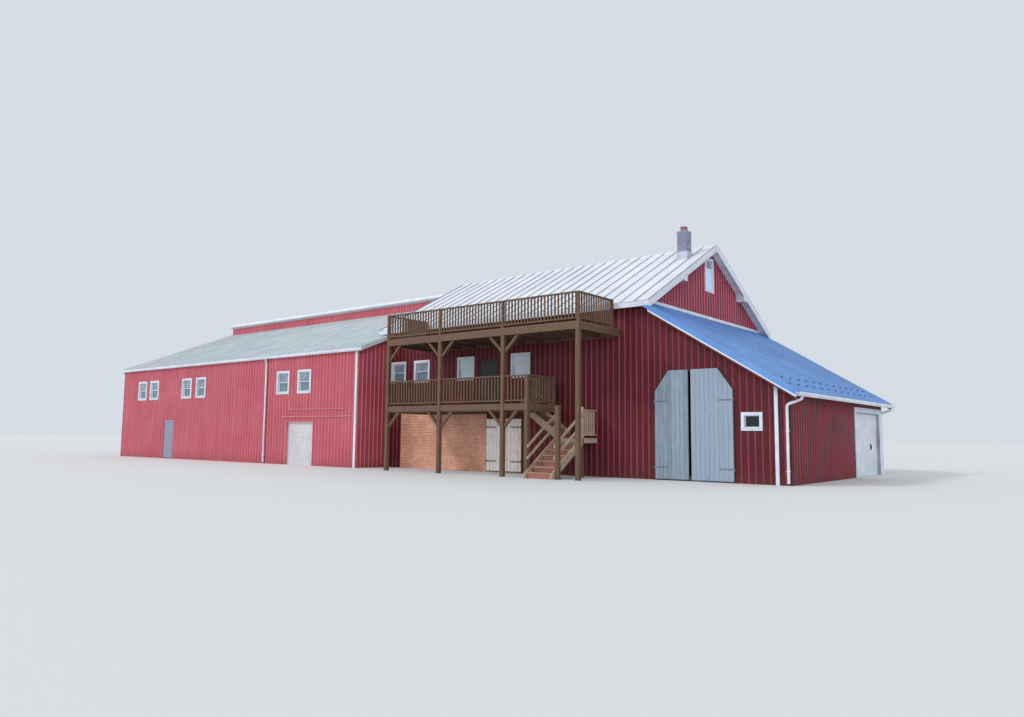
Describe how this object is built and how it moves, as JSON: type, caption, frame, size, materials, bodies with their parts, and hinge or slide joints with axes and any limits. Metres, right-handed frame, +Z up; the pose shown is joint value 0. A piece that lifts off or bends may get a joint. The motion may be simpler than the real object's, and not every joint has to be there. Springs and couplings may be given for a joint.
{
  "type": "red bank barn with wing, lean-to and two-level deck",
  "caption": "Long red barn in ribbed steel sheets with white metal roofs, a lean-to on the gable end, a long lower wing, a chimney, a two-level timber deck with stair, and hinged plank doors.",
  "frame": {"origin": "foot of the gable wall between barn and lean-to, under the ridge, on the ground", "axes": "+X along the ridge towards the lean-to, +Y from the deck side to the back, +Z up"},
  "size_m": [39.42, 13.68, 9.61],
  "materials": {
    "red_steel_sheets": "ribbed steel sheets, barn red paint, sun-faded",
    "white_metal_roof": "standing-seam metal, off-white paint",
    "lean_to_metal_roof": "standing-seam metal, satin grey-blue",
    "white_paint": "white paint on wood",
    "white_aluminium": "white coated",
    "deck_timber": "weathered brown timber",
    "weathered_white_planks": "worn white paint on planks",
    "concrete": "grey concrete slab",
    "floor_boards": "bare floor boards",
    "brick": "orange-brown brickwork",
    "chimney_masonry": "grey-brown masonry",
    "clay_flue": "red clay flue tile",
    "window_glass": "clear glass",
    "dark_door": "dark stained door",
    "grey_door": "grey painted door",
    "black_iron": "black iron"
  },
  "bodies": {
    "building": {"barn_floor": "concrete", "wing_floor": "concrete", "lean_to_floor": "concrete", "barn_upper_floor": "floor_boards", "wing_upper_floor": "floor_boards", "brick_wall": "brick", "front_wall_lower": "red_steel_sheets", "front_wall_over_low_doors": "red_steel_sheets", "front_wall_upper_left": "red_steel_sheets", "front_wall_upper_right": "red_steel_sheets", "front_wall_over_deck_door": "red_steel_sheets", "lean_to_wall_left": "red_steel_sheets", "lean_to_wall_over_doors": "red_steel_sheets", "lean_to_wall_right": "red_steel_sheets", "lean_to_eave_wall": "red_steel_sheets", "lean_to_back_wall": "red_steel_sheets", "gable_wall": "red_steel_sheets", "barn_back_wall": "red_steel_sheets", "wing_front_wall_left": "red_steel_sheets", "wing_front_wall_over_door": "red_steel_sheets", "wing_front_wall_right": "red_steel_sheets", "wing_back_wall": "red_steel_sheets", "wing_end_wall": "red_steel_sheets", "wing_return_wall": "red_steel_sheets", "wing_ridge_wall": "red_steel_sheets", "barn_left_gable": "red_steel_sheets", "barn_roof": "white_metal_roof", "wing_front_roof": "white_metal_roof", "wing_back_roof": "white_metal_roof", "lean_to_roof": "lean_to_metal_roof", "chimney": "chimney_masonry", "chimney_flue": "clay_flue", "gable_louvre": "white_paint", "garage_doors": "white_paint", "window_frames": "white_paint", "window_glass": "window_glass", "rake_boards": "white_paint", "white_boards": "white_paint", "gutters": "white_aluminium", "downspouts": "white_aluminium", "deck_posts": "deck_timber", "deck_braces": "deck_timber", "lower_deck": "deck_timber", "lower_deck_frame": "deck_timber", "upper_deck_boards": "deck_timber", "upper_deck_frame": "deck_timber", "lower_railings": "deck_timber", "upper_railings": "deck_timber", "stair_stringers": "deck_timber", "stair_treads": "deck_timber", "stair_railings": "deck_timber", "hinge_pins": "black_iron"},
    "big_left_leaf": {"big_door_left": "weathered_white_planks"},
    "big_right_leaf": {"big_door_right": "weathered_white_planks"},
    "low_left_leaf": {"low_door_left": "weathered_white_planks"},
    "low_right_leaf": {"low_door_right": "weathered_white_planks"},
    "deck_door_leaf": {"deck_door": "dark_door"},
    "wing_door_leaf": {"wing_door": "grey_door"}
  },
  "joints": [
    {"name": "big_door_left_swing", "type": "hinge", "parent": "building", "child": "big_left_leaf", "pos_m": [0.47, -5.306, 1.8], "axis": [0, 0, 1], "range_deg": [-100, 0]},
    {"name": "big_door_right_swing", "type": "hinge", "parent": "building", "child": "big_right_leaf", "pos_m": [3.23, -5.306, 1.8], "axis": [0, 0, 1], "range_deg": [0, 100]},
    {"name": "low_door_left_swing", "type": "hinge", "parent": "building", "child": "low_left_leaf", "pos_m": [-6.97, -5.276, 1.22], "axis": [0, 0, 1], "range_deg": [-100, 0]},
    {"name": "low_door_right_swing", "type": "hinge", "parent": "building", "child": "low_right_leaf", "pos_m": [-5.222, -5.276, 1.22], "axis": [0, 0, 1], "range_deg": [0, 100]},
    {"name": "deck_door_swing", "type": "hinge", "parent": "building", "child": "deck_door_leaf", "pos_m": [-7.32, -5.276, 3.5], "axis": [0, 0, 1], "range_deg": [-100, 0]},
    {"name": "wing_door_swing", "type": "hinge", "parent": "building", "child": "wing_door_leaf", "pos_m": [-28.78, -7.176, 1.15], "axis": [0, 0, 1], "range_deg": [-100, 0]}
  ]
}
